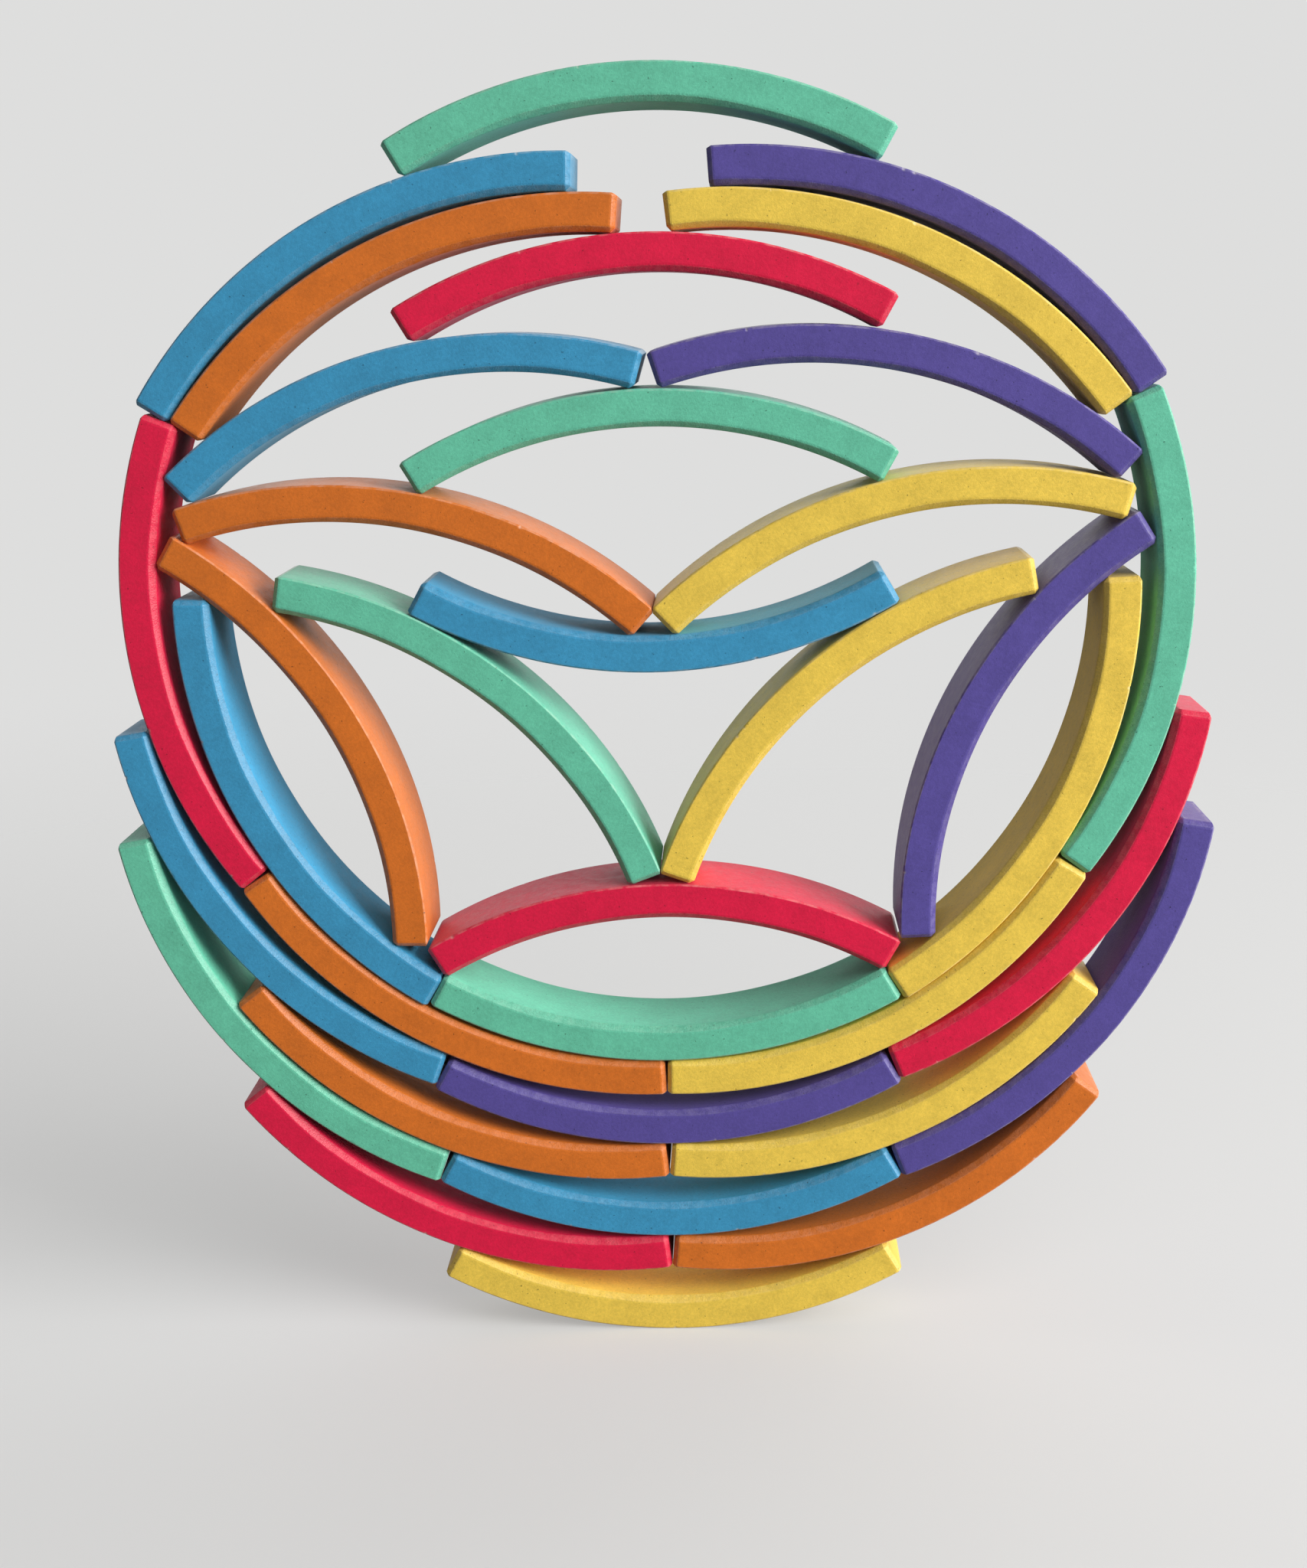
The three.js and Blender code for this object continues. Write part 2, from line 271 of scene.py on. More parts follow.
def arc_of(node, half_span):
    """Centre of a block's arc in the XZ plane, and the turn that brings an arch to its place.

    The end faces of the solid are radial, so their planes cross on the arc's axis.
    """
    mesh = frame["nodes"][node].data
    points = np.array([vertex.co for vertex in mesh.vertices])[:, [0, 2]]
    points -= points.mean(0)
    thin = np.linalg.eigh(points.T @ points)[1][:, 0]
    planes = {True: np.zeros(3), False: np.zeros(3)}
    for face in mesh.polygons:
        normal = np.array((face.normal.x, face.normal.z))
        radial = abs(abs(normal @ thin) - math.sin(half_span)) < RADIAL_SLACK
        if radial and abs(face.normal.y) < ACROSS_SLACK:
            corner = mesh.vertices[face.vertices[0]].co
            offset = normal @ (corner.x, corner.z)
            first = thin[0] * normal[1] > thin[1] * normal[0]
            planes[first] += face.area * np.array((*normal, offset))
    ends = np.array([planes[True], planes[False]])
    ends /= np.linalg.norm(ends[:, :2], axis=1)[:, None]
    centre = np.linalg.solve(ends[:, :2], ends[:, 2])
    middle = -ends[:, :2].sum(0)
    return centre, math.atan2(middle[0], middle[1])


def middle_radius(shape):
    """Radius halfway between the convex and the concave side."""
    return shape.outer_radius - shape.thickness / 2


def bevel_rows(shape):
    """Points of a bevel, as shares of its size along its first side and left over on its second."""
    flat = shape.edge_flatness
    for share in BEVEL_SHARES:
        angle = share * math.pi / 2
        along = flat * share + (1 - flat) * (1 - math.cos(angle))
        left = flat * (1 - share) + (1 - flat) * (1 - math.sin(angle))
        yield along, left


def section_ring(shape, inset, end_convex, convex, concave):
    """A section, inset all round: rows of (in from the convex side, across, convex edge, other edge)."""
    half = shape.depth / 2
    corners = (
        (0.0, -half, 1, 1, convex, end_convex),
        (shape.thickness, -half, -1, 1, concave, 1.0),
        (shape.thickness, half, -1, -1, concave, 1.0),
        (0.0, half, 1, -1, convex, end_convex),
    )
    rows = []
    for number, (side, face, inward, across, easing, share) in enumerate(corners):
        side += inward * inset * share
        face += across * inset
        ease = max(easing - inset, LEAST_BEVEL)
        support = ease + shape.edge_support
        crisp = float(inward > 0)
        corner = [(side, face + across * support, 0.0, 0.0)]
        for along, left in bevel_rows(shape):
            corner.append((side + inward * ease * along, face + across * ease * left, crisp, 1 - crisp))
        corner.append((side + inward * support, face, 0.0, 0.0))
        rows += corner if number % 2 == 0 else corner[::-1]
    return np.array(rows)


def end_rings(shape):
    """From an end face inwards: rows of (distance from the end plane, inset of the section, bevelled)."""
    ease = shape.end_edge
    rows = [(0.0, ease + shape.edge_support, 0.0)]
    rows += [(ease * along, ease * left, 1.0) for along, left in bevel_rows(shape)]
    rows.append((ease + shape.edge_support, 0.0, 0.0))
    return rows


def nick_list(shape, chance, half_span):
    """Nicks along the convex edges: rows of (angle, half length, depth, front or back)."""
    reach = half_span - NICK_CLEARANCE * shape.end_edge / shape.outer_radius
    rows = []
    for _ in range(shape.nicks):
        size = chance.uniform(NICK_LEAST_LENGTH, 1.0)
        rows.append((
            chance.uniform(-reach, reach),
            size * shape.nick_length / 2,
            size * chance.uniform(NICK_LEAST_DEPTH, 1.0) * shape.nick_depth,
            chance.choice((-1, 1)),
        ))
    return rows


def arc_stations(shape, half_span, nicks):
    """Where the block has sections, from end to end: rows of (angle, inset of the section, bevelled)."""
    ends = end_rings(shape)
    reach = half_span - ends[-1][0] / middle_radius(shape)
    angles = set(np.linspace(-reach, reach, ARC_STEPS + 1)[1:-1])
    for place, half_length, _, _ in nicks:
        spread = half_length / shape.outer_radius
        angles.update(place + spread * step for step in NICK_STEPS)
    first = [(-half_span + away / middle_radius(shape), inset, edge) for away, inset, edge in ends]
    between = [(angle, 0.0, 0.0) for angle in sorted(angles) if abs(angle) < reach]
    last = [(-angle, inset, edge) for angle, inset, edge in reversed(first)]
    return first + between + last


def wavering(shape, waves, phases, angle):
    """The hand-sanded easing at a place along the arc, as a share of the usual."""
    swing = sum(math.sin(wave * angle + phase) for wave, phase in zip(waves, phases))
    return 1 + shape.edge_waver * swing / len(waves)


def press_nicks(shape, ring, angle, nicks):
    """Presses the nicks into a section's convex edges, and gives how much each point is nicked."""
    nicked = np.zeros(len(ring))
    for place, half_length, depth, face in nicks:
        bite = math.exp(-((angle - place) * shape.outer_radius / half_length) ** 2)
        on_edge = (ring[:, 2] > 0) & (ring[:, 1] * face > 0)
        ring[on_edge, 0] += depth * bite * NICK_INTO_SIDE
        ring[on_edge, 1] -= face * depth * bite * NICK_INTO_FACE
        nicked[on_edge] = np.maximum(nicked[on_edge], bite)
    return nicked


def skin_faces(rings, around):
    """Faces that join the sections, and one cap at each end."""
    faces = [tuple(range(around))]
    for ring in range(rings - 1):
        low = ring * around
        high = low + around
        for point in range(around):
            beside = (point + 1) % around
            faces.append((low + point, high + point, high + beside, low + beside))
    faces.append(tuple(range(rings * around - 1, (rings - 1) * around - 1, -1)))
    return faces


def block_mesh(name, shape, end_convex, end_fill, chance):
    """One block as an arch round its own origin, with eased edges and its own small nicks.

    Its points know their place in the board in millimetres, and how crisp, bevelled and nicked they are.
    """
    half_span = shape.span / 2 + end_fill / middle_radius(shape)
    nicks = nick_list(shape, chance, half_span)
    convex_phases = [chance.uniform(0, math.tau) for _ in CONVEX_WAVES]
    concave_phases = [chance.uniform(0, math.tau) for _ in CONCAVE_WAVES]
    sections, crisp, bevelled, nicked = [], [], [], []
    for angle, inset, edge in arc_stations(shape, half_span, nicks):
        convex = shape.convex_edge * wavering(shape, CONVEX_WAVES, convex_phases, angle)
        concave = shape.concave_edge * wavering(shape, CONCAVE_WAVES, concave_phases, angle)
        ring = section_ring(shape, inset, end_convex, convex, concave)
        nicked.append(press_nicks(shape, ring, angle, nicks))
        radius = shape.outer_radius - ring[:, 0]
        sections.append(np.stack([radius * math.sin(angle), ring[:, 1], radius * math.cos(angle)], 1))
        crisp.append(ring[:, 2])
        bevelled.append(np.maximum(ring[:, 3], edge))
    points = np.concatenate(sections)
    mesh = bpy.data.meshes.new(name)
    mesh.from_pydata(points.tolist(), [], skin_faces(len(sections), len(sections[0])))
    board = mesh.attributes.new("board", "FLOAT_VECTOR", "POINT")
    board.data.foreach_set("vector", (points / MM).ravel())
    for kind, values in (("crisp", crisp), ("bevelled", bevelled), ("nick", nicked)):
        mark = mesh.attributes.new(kind, "FLOAT", "POINT")
        mark.data.foreach_set("value", np.concatenate(values))
    mesh.shade_smooth()
    mesh.update()
    return mesh


def lay_block(context, node):
    """Lays one block over its solid and lets it ride on the solid's body."""
    shape = context.scene.block_shape
    centre, turn = arc_of(node, shape.span / 2)
    kind = kind_of(node)
    end_convex = shape.tip_convex if kind == "shoulder" else shape.end_convex
    end_fill = 0.0 if kind in MEETING_KINDS else shape.end_fill
    mesh = block_mesh(f"{node}_block", shape, end_convex, end_fill, random.Random(node))
    block = bpy.data.objects.new(f"{node}_block", mesh)
    context.scene.collection.objects.link(block)
    mesh.transform(Matrix.Translation((centre[0], 0, centre[1])) @ Matrix.Rotation(turn, 4, "Y"))
    weighted = block.modifiers.new("even_faces", "WEIGHTED_NORMAL")
    weighted.weight = FACE_WEIGHT
    mesh.materials.append(board_material(SLOT_OF[node], context.scene.board_finish, shape))
    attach(block, node)
    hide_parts(node)


def lay_blocks(context, kind):
    """Lays all blocks of a kind."""
    nodes = [node for node in sorted(frame["nodes"]) if kind_of(node) == kind]
    if not nodes:
        raise RuntimeError(f"the frame holds no {kind} block")
    for node in nodes:
        lay_block(context, node)
    return {"FINISHED"}


# Board material

# How far chance may move a block's place in the board, in millimetres
BOARD_SHIFT = 900.0

# Noises in the board: scale per millimetre, detail and roughness
MOTTLE = (0.09, 3.0, 0.6)
CLOUD = (0.4, 3.0, 0.6)
SPECKLE = (1.1, 2.0, 0.6)
GRAIN = (3.0, 2.0, 0.7)
TEAR = (1.5, 2.0, 0.6)
SCRAPE = (0.35, 3.0, 0.6)
PIT = (2.2, 1.0, 0.5)

# The values between which a noise counts from nothing to full
NOISE_RANGE = (0.25, 0.75)
PATCH_RANGE = (0.30, 0.70)
TEAR_RANGE = (0.50, 0.62)

# Fibres: their turns in the board's plane, their stretch in millimetres, their noise and where it counts
FIBRE_TURNS = (0.2, 1.2, 2.3)
FIBRE_STRETCH = (2.4, 0.35, 0.35)
FIBRE = (1.0, 1.0, 0.5)
FIBRE_RANGE = (0.62, 0.74)

# Flecks: the noise that bends them and its share, cells per millimetre, how far a fleck reaches from the
# middle of its cell, and the chances between which a cell has one
FLECK_BEND = (1.4, 1.0, 0.5)
FLECK_BEND_SHARE = 0.5
FLECK_CELLS = 1.1
FLECK_REACH = (0.15, 0.07)
FLECK_CHANCE = (0.45, 0.75)

# Where a mark on the mesh counts: on the crisp edge itself, on a bevel, and in the strip beside it
CRISP_RANGE = (0.80, 1.00)
BEVEL_RANGE = (0.85, 0.95)
BESIDE_RANGE = (0.30, 0.90)

# How much a normal points to the front or back where the finish of the sides and of the hollow fades in
CUT_RANGE = (0.9, 0.5)
SIDE_RANGE = (0.5, 0.3)

# Heights over the concave side, in millimetres, between which the hollow's finish fades in
HOLLOW_RANGE = (2.0, 1.0)

# How much each mark lightens or darkens the dye
MOTTLE_SHADE = 0.07
CLOUD_SHADE = 0.04
SPECKLE_SHADE = 0.07
GRAIN_SHADE = 0.05
FIBRE_SHADE = 0.06
# The dye of the concave sides is made lighter by this share all over
HOLLOW_SHADE = 0.22
# Dark patches beside the bevels: tears in the fibre and painted shade of the grain in grazing light
TEAR_AND_PAINTED_SHADE = 0.10
FLECK_SHADE = 0.6

# How much worn fibre and painted highlight show on crisp edges, from the least to the most on bevels, and
# how much worn fibre shows in nicks
CRISP_WEAR_AND_HIGHLIGHT = 0.16
BEVEL_WEAR_AND_HIGHLIGHT = (0.01, 0.06)
NICK_WEAR = 0.25

# How much the clouds change the roughness
CLOUD_ROUGHNESS = 0.05

# How much each mark adds to the relief, and the relief's strength and depth
GRAIN_HEIGHT = 0.5
SPECKLE_HEIGHT = 0.7
FIBRE_HEIGHT = 0.12
PIT_HEIGHT = 1.6
BUMP_STRENGTH = 0.25
BUMP_DISTANCE = 0.3 * MM

# Sockets of the colours that a mix node takes and gives
MIX_FIRST = 6
MIX_SECOND = 7
MIX_RESULT = 2


class NodeDesk:
    """A node tree, with short ways to add and join nodes."""

    def __init__(self, tree):
        self.tree = tree

    def add(self, kind, inputs=None, **settings):
        """A new node, with its inputs joined to sockets or set to values."""
        node = self.tree.nodes.new(kind)
        for name, value in settings.items():
            setattr(node, name, value)
        for name, value in (inputs or {}).items():
            if isinstance(value, bpy.types.NodeSocket):
                self.tree.links.new(value, node.inputs[name])
            else:
                node.inputs[name].default_value = value
        return node

    def math(self, operation, first, second=0.0):
        """What an operation makes of one or two values."""
        return self.add("ShaderNodeMath", {0: first, 1: second}, operation=operation).outputs[0]

    def part(self, value, share):
        """A share of a value."""
        return self.math("MULTIPLY", value, share)

    def total(self, first, *others):
        """All the values added up."""
        for other in others:
            first = self.math("ADD", first, other)
        return first

    def noise(self, place, scale, detail, roughness, output="Fac"):
        """A noise, as a value or a colour."""
        values = {"Vector": place, "Scale": scale, "Detail": detail, "Roughness": roughness}
        return self.add("ShaderNodeTexNoise", values).outputs[output]

    def span(self, value, low, high, to_low=0.0, to_high=1.0):
        """A value brought smoothly from one range to another."""
        values = {"Value": value, "From Min": low, "From Max": high, "To Min": to_low, "To Max": to_high}
        return self.add("ShaderNodeMapRange", values, interpolation_type="SMOOTHSTEP").outputs["Result"]

    def swing(self, value, amount, middle=0.0):
        """A noise brought to an amount below and above a middle."""
        return self.span(value, *NOISE_RANGE, middle - amount, middle + amount)

    def stretched(self, place, turn, scale):
        """A place, turned round the depth and stretched."""
        values = {"Vector": place, "Rotation": (0, turn, 0), "Scale": scale}
        return self.add("ShaderNodeMapping", values, vector_type="TEXTURE").outputs["Vector"]

    def mix(self, share, first, second):
        """Two colours mixed, with a share of the second."""
        values = {0: share, MIX_FIRST: first, MIX_SECOND: second}
        return self.add("ShaderNodeMix", values, data_type="RGBA").outputs[MIX_RESULT]

    def shaded(self, colour, value):
        """A colour made lighter or darker."""
        return self.add("ShaderNodeHueSaturation", {"Value": value, "Color": colour}).outputs["Color"]

    def vector(self, operation, first, second=(0, 0, 0)):
        """What an operation makes of one or two vectors, as the node's outputs."""
        return self.add("ShaderNodeVectorMath", {0: first, 1: second}, operation=operation).outputs

    def attribute(self, name, output="Fac"):
        """A mark that the mesh holds."""
        return self.add("ShaderNodeAttribute", attribute_name=name).outputs[output]


def hollow_side(desk, shape):
    """One near the concave side of a block and nothing farther from it."""
    flat = desk.vector("MULTIPLY", desk.attribute("board", "Vector"), (1, 0, 1))["Vector"]
    radius = desk.vector("LENGTH", flat)["Value"]
    inner = (shape.outer_radius - shape.thickness) / MM
    return desk.span(radius, *(inner + height for height in HOLLOW_RANGE))


def board_place(desk):
    """Place in the board in millimetres, moved by a chance of its own for each block."""
    chance = desk.add("ShaderNodeObjectInfo").outputs["Random"]
    shift = desk.part(chance, BOARD_SHIFT)
    offset = desk.add("ShaderNodeCombineXYZ", {"X": shift, "Y": shift, "Z": shift}).outputs["Vector"]
    return desk.vector("ADD", desk.attribute("board", "Vector"), offset)["Vector"]


def fibres(desk, place):
    """Short fibres that lie in the board's plane, in a few directions."""
    found = None
    for turn in FIBRE_TURNS:
        laid = desk.stretched(place, turn, FIBRE_STRETCH)
        strand = desk.span(desk.noise(laid, *FIBRE), *FIBRE_RANGE)
        found = strand if found is None else desk.math("MAXIMUM", found, strand)
    return found


def flecks(desk, place):
    """Sparse bark flecks."""
    bent = desk.mix(FLECK_BEND_SHARE, place, desk.noise(place, *FLECK_BEND, output="Color"))
    cells = desk.add("ShaderNodeTexVoronoi", {"Vector": bent, "Scale": FLECK_CELLS}).outputs
    near = desk.span(cells["Distance"], *FLECK_REACH)
    chance = desk.add("ShaderNodeSeparateColor", {"Color": cells["Color"]}).outputs["Red"]
    return desk.part(near, desk.span(chance, *FLECK_CHANCE))


def board_marks(desk, shape):
    """What the finish is made of: noises through the board, and where its edges and sides lie."""
    place = board_place(desk)
    normal = desk.add("ShaderNodeTexCoord").outputs["Normal"]
    across = desk.add("ShaderNodeSeparateXYZ", {"Vector": normal}).outputs["Y"]
    facing = desk.math("ABSOLUTE", across)
    beside = desk.attribute("bevelled")
    return SimpleNamespace(
        mottle=desk.noise(place, *MOTTLE),
        cloud=desk.noise(place, *CLOUD),
        speckle=desk.noise(place, *SPECKLE),
        grain=desk.noise(place, *GRAIN),
        tear=desk.noise(place, *TEAR),
        scrape=desk.noise(place, *SCRAPE),
        pit=desk.noise(place, *PIT),
        fibres=fibres(desk, place),
        flecks=flecks(desk, place),
        crisp=desk.span(desk.attribute("crisp"), *CRISP_RANGE),
        beside=beside,
        bevelled=desk.span(beside, *BEVEL_RANGE),
        nick=desk.attribute("nick"),
        cut=desk.span(facing, *CUT_RANGE),
        hollow=desk.part(desk.span(facing, *SIDE_RANGE), hollow_side(desk, shape)),
    )


def board_dye(desk, marks, dye, worn_colour):
    """The dye with mottle and flecks, lighter on the concave sides, with worn fibre and a painted highlight
    on edges and bevels, painted shade and tears beside the bevels, and worn fibre in nicks.
    """
    shade = desk.total(
        desk.swing(marks.mottle, MOTTLE_SHADE, 1.0),
        desk.swing(marks.cloud, CLOUD_SHADE),
        desk.swing(marks.speckle, SPECKLE_SHADE),
        desk.swing(marks.grain, GRAIN_SHADE),
        desk.part(marks.fibres, FIBRE_SHADE),
        desk.part(marks.hollow, HOLLOW_SHADE),
    )
    # Dark patches beside the bevels, partly tears in the fibre and partly painted shade of the grain
    torn_and_shaded = desk.span(marks.tear, *TEAR_RANGE, 0.0, TEAR_AND_PAINTED_SHADE)
    torn_and_shaded = desk.part(torn_and_shaded, desk.span(marks.beside, *BESIDE_RANGE))
    dark = desk.total(torn_and_shaded, desk.part(marks.flecks, FLECK_SHADE))
    flecked_and_shaded = desk.shaded(desk.shaded(dye, shade), desk.math("SUBTRACT", 1.0, dark))
    # A pale broken line along the crisp convex edges: worn fibre and a painted highlight
    scraped_and_highlit_edge = desk.part(marks.crisp, desk.span(marks.scrape, *PATCH_RANGE))
    # A pale fuzz over the bevels: worn fibre and a painted highlight
    fuzz_and_highlight = desk.part(marks.bevelled, desk.span(marks.cloud, *PATCH_RANGE, *BEVEL_WEAR_AND_HIGHLIGHT))
    # Worn fibre and painted highlight laid over the dye
    rubbed_and_highlit = desk.mix(desk.total(desk.part(scraped_and_highlit_edge, CRISP_WEAR_AND_HIGHLIGHT), fuzz_and_highlight), flecked_and_shaded, worn_colour)
    return desk.mix(desk.part(marks.nick, NICK_WEAR), rubbed_and_highlit, worn_colour)


def board_roughness(desk, marks, finish):
    """The roughness of faces, sides, hollows and bevels, with the clouds in it."""
    return desk.total(
        finish.roughness,
        desk.part(marks.cut, finish.cut_roughness),
        desk.part(marks.hollow, finish.hollow_roughness),
        desk.span(marks.cloud, *PATCH_RANGE, -CLOUD_ROUGHNESS, CLOUD_ROUGHNESS),
        desk.part(marks.bevelled, finish.bevel_roughness),
    )


def board_relief(desk, marks):
    """The normal of a board with fine grain and fibres, and with pits in its bevels."""
    height = desk.total(
        desk.part(marks.grain, GRAIN_HEIGHT),
        desk.part(marks.speckle, SPECKLE_HEIGHT),
        desk.part(marks.fibres, FIBRE_HEIGHT),
        desk.part(desk.part(marks.pit, marks.beside), PIT_HEIGHT),
    )
    values = {"Strength": BUMP_STRENGTH, "Distance": BUMP_DISTANCE, "Height": height}
    return desk.add("ShaderNodeBump", values).outputs["Normal"]


def board_material(slot, finish, shape):
    """Dyed fibreboard: mottled dye, fine grain, fibres, bark flecks, worn edges with a painted highlight,
    painted shade beside the bevels, and sanded sides.
    """
    name = f"{slot}_board"
    if name in bpy.data.materials:
        return bpy.data.materials[name]
    material = bpy.data.materials.new(name)
    material.use_nodes = True
    material.node_tree.nodes.clear()
    desk = NodeDesk(material.node_tree)
    marks = board_marks(desk, shape)
    board = desk.add("ShaderNodeBsdfPrincipled", {
        "Base Color": board_dye(desk, marks, (*getattr(finish, slot), 1.0), (*finish.worn_colour, 1.0)),
        "Roughness": board_roughness(desk, marks, finish),
        "Normal": board_relief(desk, marks),
        "Specular IOR Level": finish.specular,
        "Sheen Weight": finish.sheen,
        "Sheen Roughness": finish.sheen_roughness,
    })
    desk.add("ShaderNodeOutputMaterial", {"Surface": board.outputs["BSDF"]})
    return material


# Stage

# Each lamp's turn to the right of the front, and its rise, in degrees
LAMP_PLACES = {
    "key": (64.5, 15),
    "high": (30, 45),
    "rim": (138, 21),
    "back": (-172, 26),
    "fill": (-25, 8),
}

# The floor's sides, and the shares of its radius between which it fades into the backdrop
FLOOR_SIDES = 64
FLOOR_FADE = (0.15, 0.95)

# The camera's sensor in millimetres, and the nearest that it sees
SENSOR = 36.0
CLIP_START = 10 * MM


def seen_by_camera(desk):
    """One for rays that the camera sees, straight, mirrored or through glass, and nothing for others."""
    rays = desk.add("ShaderNodeLightPath").outputs
    straight = desk.math("MAXIMUM", rays["Is Camera Ray"], rays["Is Transmission Ray"])
    return desk.math("MAXIMUM", straight, rays["Is Glossy Ray"])


def floor_material(stage):
    """A pale matt floor that keeps the stack's shadow and fades into the backdrop far from it."""
    material = bpy.data.materials.new("pale_floor")
    material.use_nodes = True
    material.node_tree.nodes.clear()
    desk = NodeDesk(material.node_tree)
    away = desk.vector("LENGTH", desk.add("ShaderNodeTexCoord").outputs["Object"])["Value"]
    shown = desk.span(away, *(share * stage.floor_radius for share in FLOOR_FADE), 1.0, 0.0)
    seen = seen_by_camera(desk)
    colour = desk.mix(seen, (*stage.bounce_colour, 1.0), (*stage.floor_colour, 1.0))
    paint = desk.add("ShaderNodeBsdfPrincipled", {"Base Color": colour, "Roughness": stage.floor_roughness})
    glow = desk.add("ShaderNodeEmission", {"Color": (*stage.backdrop_colour, 1.0), "Strength": 1.0})
    share = desk.part(seen, stage.floor_glow)
    pale = desk.add("ShaderNodeMixShader", {0: share, 1: paint.outputs[0], 2: glow.outputs[0]})
    clear = desk.add("ShaderNodeBsdfTransparent")
    faded = desk.add("ShaderNodeMixShader", {0: shown, 1: clear.outputs[0], 2: pale.outputs[0]})
    desk.add("ShaderNodeOutputMaterial", {"Surface": faded.outputs[0]})
    return material


def add_floor(context, stage):
    """A round floor under the foot's convex side."""
    shape = context.scene.block_shape
    centre, _ = arc_of("foot_cup", shape.span / 2)
    radius = stage.floor_radius
    turns = [math.tau * side / FLOOR_SIDES for side in range(FLOOR_SIDES)]
    ring = [(radius * math.cos(turn), radius * math.sin(turn), 0.0) for turn in turns]
    mesh = bpy.data.meshes.new("floor")
    mesh.from_pydata(ring, [], [range(FLOOR_SIDES)])
    mesh.materials.append(floor_material(stage))
    floor = bpy.data.objects.new("floor", mesh)
    floor.location.z = centre[1] - shape.outer_radius
    context.scene.collection.objects.link(floor)


def add_world(context, stage):
    """Even light from all sides, and a pale backdrop for what looks past the floor."""
    world = bpy.data.worlds.new("studio")
    world.use_nodes = True
    world.node_tree.nodes.clear()
    desk = NodeDesk(world.node_tree)
    light = desk.add("ShaderNodeBackground", {"Color": (1.0, 1.0, 1.0, 1.0), "Strength": stage.ambient})
    backdrop = desk.add("ShaderNodeBackground", {"Color": (*stage.backdrop_colour, 1.0), "Strength": 1.0})
    both = desk.add("ShaderNodeMixShader", {
        0: seen_by_camera(desk), 1: light.outputs[0], 2: backdrop.outputs[0]})
    desk.add("ShaderNodeOutputWorld", {"Surface": both.outputs[0]})
    context.scene.world = world


def add_lamp(context, stage, name):
    """A large square lamp, turned to the right of the front and raised, that points at the stack."""
    lamp = bpy.data.lights.new(f"{name}_lamp", "AREA")
    lamp.shape = "SQUARE"
    lamp.size = stage.lamp_size
    lamp.energy = getattr(stage, f"{name}_power")
    turn, rise = (math.radians(angle) for angle in LAMP_PLACES[name])
    towards = Vector((math.sin(turn) * math.cos(rise), -math.cos(turn) * math.cos(rise), math.sin(rise)))
    holder = bpy.data.objects.new(f"{name}_lamp", lamp)
    holder.location = Vector((0, 0, stage.lamp_aim)) + stage.lamp_distance * towards
    holder.rotation_euler = (-towards).to_track_quat("-Z", "Y").to_euler()
    holder.visible_camera = False
    context.scene.collection.objects.link(holder)


def add_camera(context, stage):
    """The camera, from its place, yaw, pitch and roll."""
    yaw, pitch, roll = stage.camera_yaw, stage.camera_pitch, stage.camera_roll
    ahead = Vector((math.sin(yaw) * math.cos(pitch), math.cos(yaw) * math.cos(pitch), -math.sin(pitch)))
    level = Vector((math.cos(yaw), -math.sin(yaw), 0))
    down = ahead.cross(level)
    right = math.cos(roll) * level + math.sin(roll) * down
    up = math.sin(roll) * level - math.cos(roll) * down
    lens = bpy.data.cameras.new("camera")
    lens.sensor_width = SENSOR
    lens.lens = stage.focal_pixels * SENSOR / max(PHOTO_WIDTH, PHOTO_HEIGHT)
    lens.clip_start = CLIP_START
    camera = bpy.data.objects.new("camera", lens)
    turned = Matrix((right, up, -ahead)).transposed().to_4x4()
    camera.matrix_world = Matrix.Translation(stage.camera_place) @ turned
    context.scene.collection.objects.link(camera)
    context.scene.camera = camera


# Operators

class ARCBLOCKS_OT_cups(bpy.types.Operator):
    """Lay the cups, which have their hollow side up, the foot among them"""

    bl_idname = "arc_blocks.lay_cups"
    bl_label = "Cups"

    def execute(self, context):
        return lay_blocks(context, "cup")


class ARCBLOCKS_OT_wings(bpy.types.Operator):
    """Lay the wings, pairs that meet in the middle of the bowl"""

    bl_idname = "arc_blocks.lay_wings"
    bl_label = "Wings"

    def execute(self, context):
        return lay_blocks(context, "wing")


class ARCBLOCKS_OT_sides(bpy.types.Operator):
    """Lay the sides, which carry the bowl on outwards and up"""

    bl_idname = "arc_blocks.lay_sides"
    bl_label = "Sides"

    def execute(self, context):
        return lay_blocks(context, "side")


class ARCBLOCKS_OT_posts(bpy.types.Operator):
    """Lay the inner and outer posts"""

    bl_idname = "arc_blocks.lay_posts"
    bl_label = "Posts"

    def execute(self, context):
        return lay_blocks(context, "post")


class ARCBLOCKS_OT_arches(bpy.types.Operator):
    """Lay the arches, which have their hollow side down, the crown among them"""

    bl_idname = "arc_blocks.lay_arches"
    bl_label = "Arches"

    def execute(self, context):
        return lay_blocks(context, "arch")


class ARCBLOCKS_OT_braces(bpy.types.Operator):
    """Lay the braces between the low arch and the posts"""

    bl_idname = "arc_blocks.lay_braces"
    bl_label = "Braces"

    def execute(self, context):
        return lay_blocks(context, "brace")


class ARCBLOCKS_OT_forks(bpy.types.Operator):
    """Lay the fork that holds the heart cup"""

    bl_idname = "arc_blocks.lay_forks"
    bl_label = "Forks"

    def execute(self, context):
        return lay_blocks(context, "fork")


class ARCBLOCKS_OT_shoulders(bpy.types.Operator):
    """Lay the shoulders in the heart cup"""

    bl_idname = "arc_blocks.lay_shoulders"
    bl_label = "Shoulders"

    def execute(self, context):
        return lay_blocks(context, "shoulder")


class ARCBLOCKS_OT_rafters(bpy.types.Operator):
    """Lay the rafters under the crown"""

    bl_idname = "arc_blocks.lay_rafters"
    bl_label = "Rafters"

    def execute(self, context):
        return lay_blocks(context, "rafter")


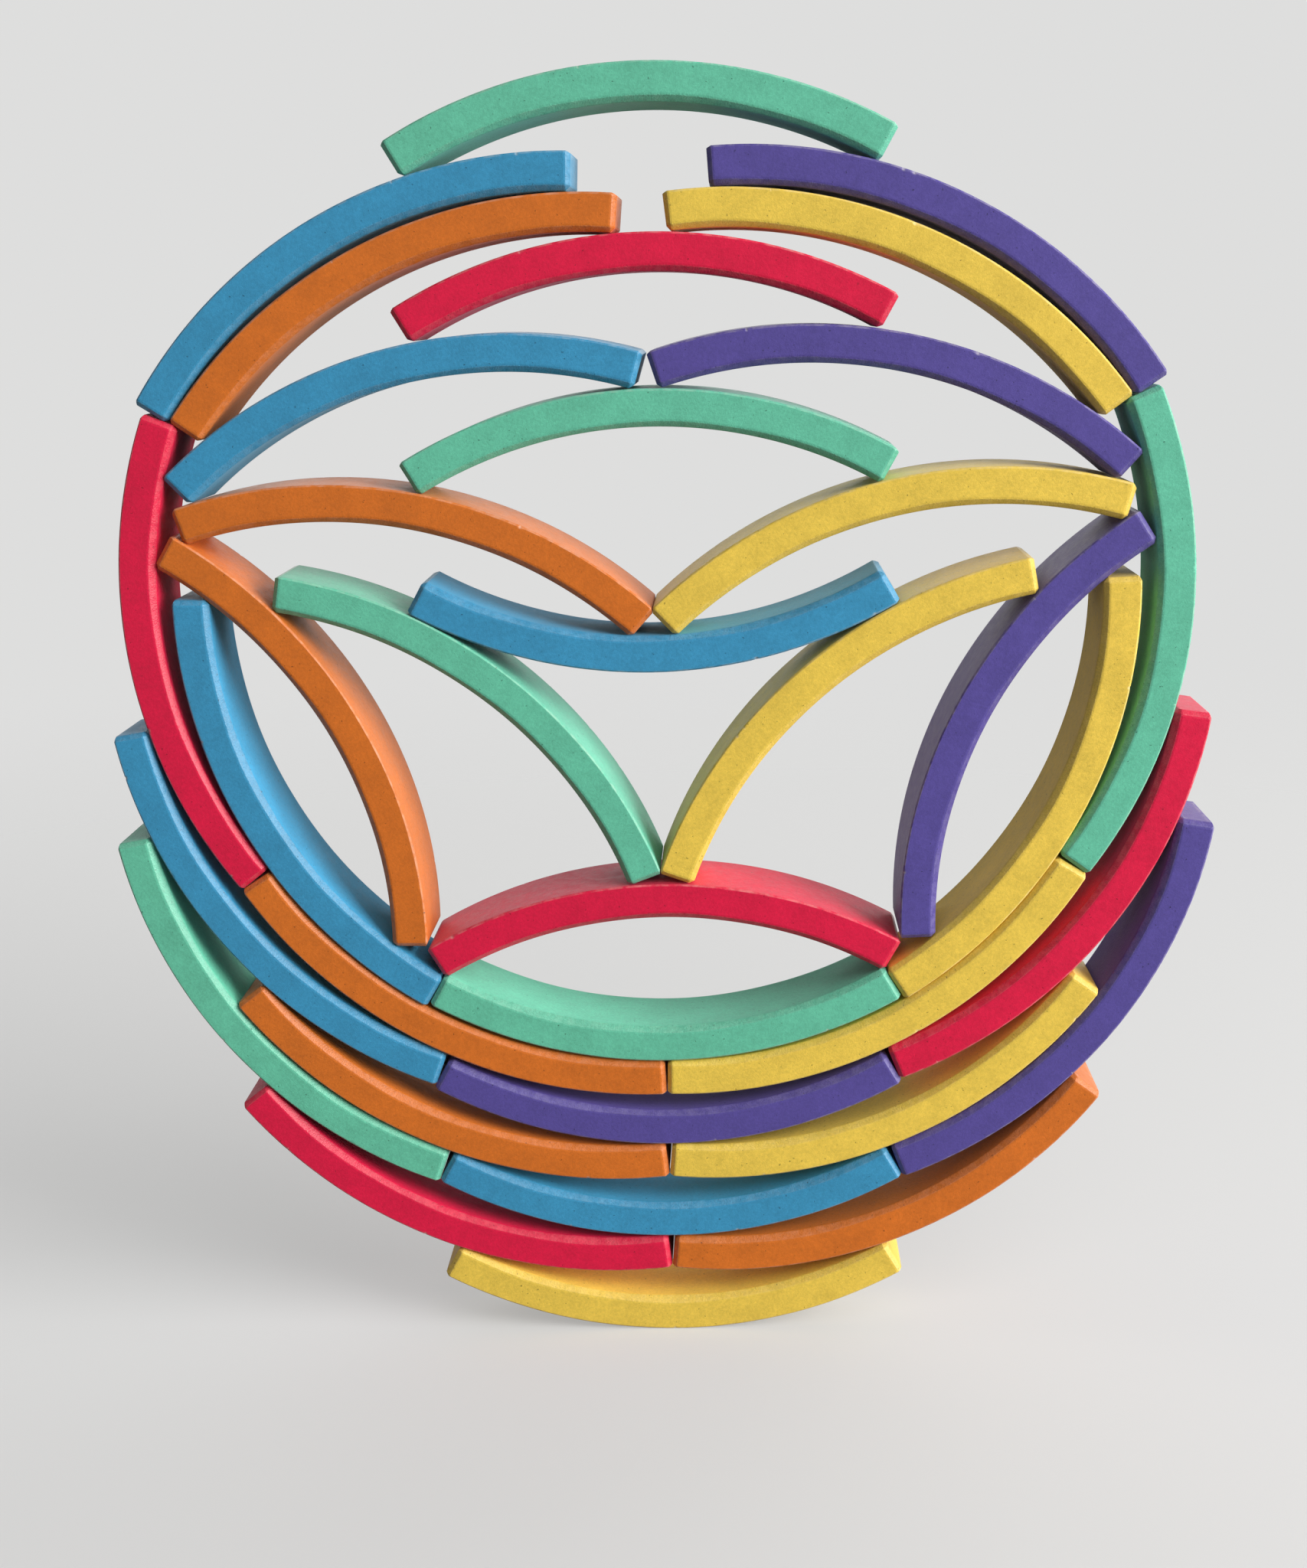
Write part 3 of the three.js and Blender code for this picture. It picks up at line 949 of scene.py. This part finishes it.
class ARCBLOCKS_OT_stage(bpy.types.Operator):
    """Set the floor, the light and the camera"""

    bl_idname = "arc_blocks.set_stage"
    bl_label = "Stage"

    def execute(self, context):
        stage = context.scene.studio_stage
        context.scene.view_settings.view_transform = "Standard"
        add_camera(context, stage)
        add_floor(context, stage)
        add_world(context, stage)
        for name in LAMP_PLACES:
            add_lamp(context, stage, name)
        return {"FINISHED"}


class ARCBLOCKS_PT_panel(bpy.types.Panel):
    """Sizes, colours and stage of the stack, and the buttons that lay it"""

    bl_idname = "ARCBLOCKS_PT_panel"
    bl_label = "Arc Blocks"
    bl_space_type = "VIEW_3D"
    bl_region_type = "UI"
    bl_category = "Arc Blocks"

    def draw(self, context):
        for title, settings in (
            ("Block", context.scene.block_shape),
            ("Board", context.scene.board_finish),
            ("Stage", context.scene.studio_stage),
        ):
            box = self.layout.box()
            box.label(text=title)
            for name in settings.__annotations__:
                box.prop(settings, name)
        for operator in OPERATORS:
            self.layout.operator(operator.bl_idname)


SETTINGS = (BlockShape, BoardFinish, StudioStage)
OPERATORS = (
    ARCBLOCKS_OT_stage,
    ARCBLOCKS_OT_cups,
    ARCBLOCKS_OT_wings,
    ARCBLOCKS_OT_sides,
    ARCBLOCKS_OT_posts,
    ARCBLOCKS_OT_arches,
    ARCBLOCKS_OT_braces,
    ARCBLOCKS_OT_forks,
    ARCBLOCKS_OT_shoulders,
    ARCBLOCKS_OT_rafters,
)
CLASSES = (*SETTINGS, *OPERATORS, ARCBLOCKS_PT_panel)


def register():
    for kind in CLASSES:
        bpy.utils.register_class(kind)
    bpy.types.Scene.block_shape = PointerProperty(type=BlockShape)
    bpy.types.Scene.board_finish = PointerProperty(type=BoardFinish)
    bpy.types.Scene.studio_stage = PointerProperty(type=StudioStage)


def unregister():
    del bpy.types.Scene.studio_stage
    del bpy.types.Scene.board_finish
    del bpy.types.Scene.block_shape
    for kind in reversed(CLASSES):
        bpy.utils.unregister_class(kind)


def main():
    register()
    bpy.ops.arc_blocks.set_stage()
    bpy.ops.arc_blocks.lay_cups()
    bpy.ops.arc_blocks.lay_wings()
    bpy.ops.arc_blocks.lay_sides()
    bpy.ops.arc_blocks.lay_posts()
    bpy.ops.arc_blocks.lay_arches()
    bpy.ops.arc_blocks.lay_braces()
    bpy.ops.arc_blocks.lay_forks()
    bpy.ops.arc_blocks.lay_shoulders()
    bpy.ops.arc_blocks.lay_rafters()


if __name__ == "__main__":
    main()
